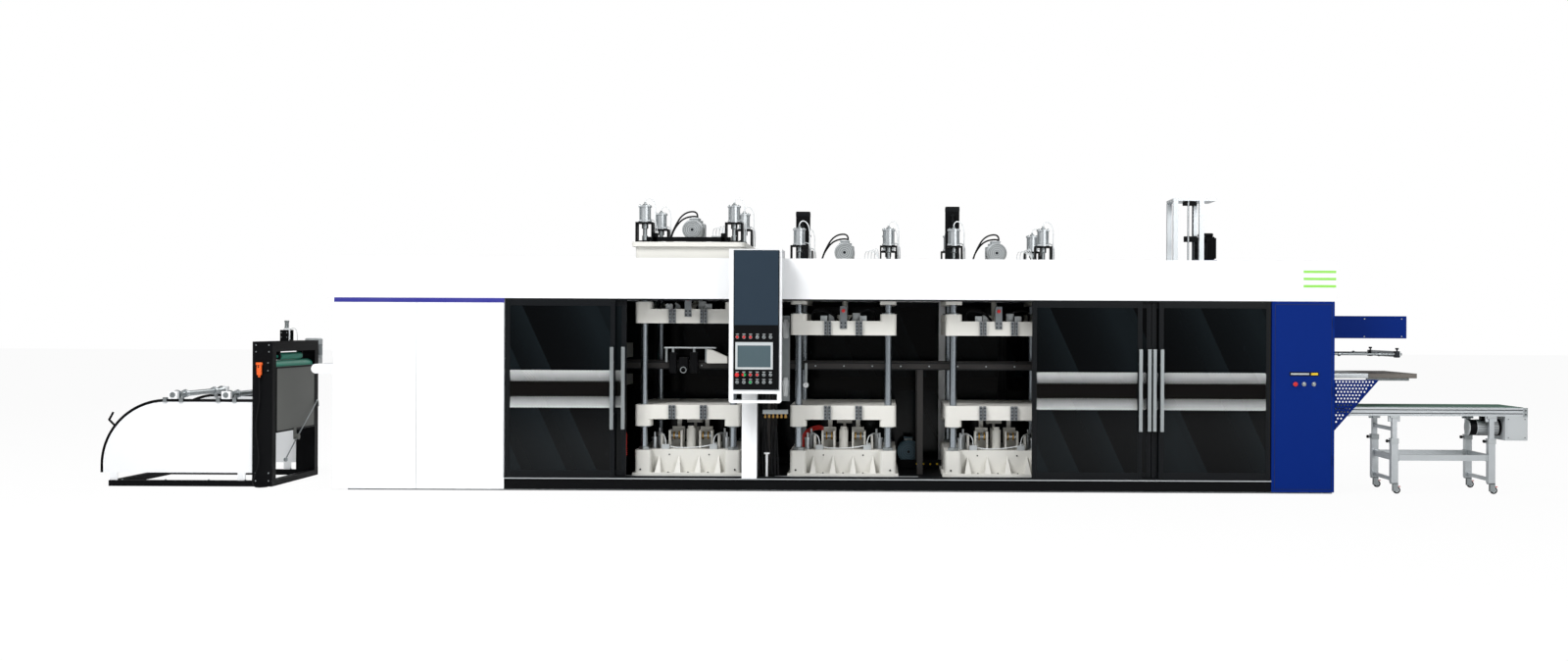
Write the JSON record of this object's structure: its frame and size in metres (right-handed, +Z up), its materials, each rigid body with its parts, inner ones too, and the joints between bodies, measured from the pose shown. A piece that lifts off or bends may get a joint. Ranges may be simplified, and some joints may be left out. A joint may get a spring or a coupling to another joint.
{
  "type": "thermoforming packaging machine",
  "caption": "Long enclosed thermoforming line with sliding glass doors, column presses, an operator pendant, a film unwinder and an outfeed conveyor.",
  "frame": {"origin": "on the floor under the middle of the main body", "axes": "+X the way the film runs, +Y away from the operator's side, +Z up"},
  "size_m": [14.747, 2.246, 3.06],
  "materials": {
    "white_paint": "satin",
    "black_paint": "satin",
    "blue_paint": "satin",
    "grey_paint": "satin",
    "aluminium": "satin",
    "steel": "brushed",
    "chrome_column": "polished",
    "dark_glass": "gloss",
    "rubber_green": "matte",
    "black_rubber": "matte",
    "orange_plastic": "gloss",
    "control_plastic": "gloss",
    "belt": "matte"
  },
  "bodies": {
    "machine": {"base_plate": "grey_paint", "plinth": "black_paint", "header_beams": "white_paint", "header_deck": "white_paint", "oven_panels": "white_paint", "end_walls": "white_paint", "infeed_table": "white_paint", "heater_boxes": "grey_paint", "exit_cabinets": "blue_paint", "exit_table": "aluminium", "exit_stacker": "blue_paint", "corner_guard": "blue_paint", "body_posts": "white_paint", "rear_wall_frames": "black_paint", "rear_wall_glass": "dark_glass", "door_tracks": "black_paint", "door_1": "dark_glass", "door_6": "dark_glass", "press_bases": "white_paint", "press_columns": "chrome_column", "press_crowns": "white_paint", "platen_drives": "white_paint", "lock_stands": "black_paint", "lock_cylinders": "aluminium", "finned_motors": "aluminium", "servo_motors": "black_paint", "chain_rails": "black_paint", "pendant_arm": "white_paint", "pendant_panel": "black_paint", "control_pieces": "control_plastic", "lift_frame": "aluminium", "conveyor_bed": "aluminium", "conveyor_belt": "belt", "conveyor_legs": "aluminium", "conveyor_drive": "grey_paint", "castors": "steel", "unwinder_posts": "black_paint", "unwinder_frame": "black_paint", "unwinder_apron": "grey_paint", "unwinder_side_tubes": "black_paint", "unwinder_side_panels": "white_paint", "film_lift_unit": "black_paint", "unwinder_gearmotor": "aluminium", "hand_switch": "orange_plastic", "switch_cord": "black_rubber"},
    "left_rear_door": {"door_2": "dark_glass"},
    "right_front_door": {"door_3": "dark_glass"},
    "right_rear_door_left": {"door_4": "dark_glass"},
    "right_rear_door_right": {"door_5": "dark_glass"},
    "lower_press_1": {"lower_platen_1": "white_paint"},
    "lower_press_2": {"lower_platen_2": "white_paint"},
    "lower_press_3": {"lower_platen_3": "white_paint"},
    "upper_press_1": {"upper_platen_1": "white_paint"},
    "upper_press_2": {"upper_platen_2": "white_paint"},
    "upper_press_3": {"upper_platen_3": "white_paint"},
    "nip_lower": {"nip_roller_lower": "rubber_green"},
    "nip_upper": {"nip_roller_upper": "rubber_green"},
    "film_shaft_1": {"roll_shaft_1": "steel"},
    "film_shaft_2": {"roll_shaft_2": "steel"}
  },
  "joints": [
    {"name": "left_rear_door_slide", "type": "slide", "parent": "machine", "child": "left_rear_door", "axis": [1, 0, 0], "range_m": [0, 1.18]},
    {"name": "right_front_door_slide", "type": "slide", "parent": "machine", "child": "right_front_door", "axis": [-1, 0, 0], "range_m": [0, 2.235]},
    {"name": "right_rear_door_left_slide", "type": "slide", "parent": "machine", "child": "right_rear_door_left", "axis": [-1, 0, 0], "range_m": [0, 1.1175]},
    {"name": "right_rear_door_right_slide", "type": "slide", "parent": "machine", "child": "right_rear_door_right", "axis": [-1, 0, 0], "range_m": [0, 1.1175]},
    {"name": "lower_press_1_stroke", "type": "slide", "parent": "machine", "child": "lower_press_1", "axis": [0, 0, 1], "range_m": [0, 0.15]},
    {"name": "upper_press_1_stroke", "type": "slide", "parent": "machine", "child": "upper_press_1", "axis": [0, 0, -1], "range_m": [0, 0.15]},
    {"name": "lower_press_2_stroke", "type": "slide", "parent": "machine", "child": "lower_press_2", "axis": [0, 0, 1], "range_m": [0, 0.15]},
    {"name": "upper_press_2_stroke", "type": "slide", "parent": "machine", "child": "upper_press_2", "axis": [0, 0, -1], "range_m": [0, 0.15]},
    {"name": "lower_press_3_stroke", "type": "slide", "parent": "machine", "child": "lower_press_3", "axis": [0, 0, 1], "range_m": [0, 0.15]},
    {"name": "upper_press_3_stroke", "type": "slide", "parent": "machine", "child": "upper_press_3", "axis": [0, 0, -1], "range_m": [0, 0.15]},
    {"name": "nip_lower_spin", "type": "hinge", "parent": "machine", "child": "nip_lower", "pos_m": [-5.912, 0, 1.245], "axis": [0, 1, 0], "continuous": true},
    {"name": "nip_upper_spin", "type": "hinge", "parent": "machine", "child": "nip_upper", "pos_m": [-5.912, 0, 1.3455], "axis": [0, 1, 0], "continuous": true},
    {"name": "film_shaft_1_spin", "type": "hinge", "parent": "machine", "child": "film_shaft_1", "pos_m": [-6.87, 0, 0.948], "axis": [0, 1, 0], "continuous": true},
    {"name": "film_shaft_2_spin", "type": "hinge", "parent": "machine", "child": "film_shaft_2", "pos_m": [-6.316, 0, 0.948], "axis": [0, 1, 0], "continuous": true}
  ],
  "couplings": [
    {"joint": "right_rear_door_left_slide", "follows": "right_front_door_slide", "ratio": 0.5},
    {"joint": "right_rear_door_right_slide", "follows": "right_front_door_slide", "ratio": 0.5},
    {"joint": "nip_upper_spin", "follows": "nip_lower_spin", "ratio": -1.5}
  ]
}
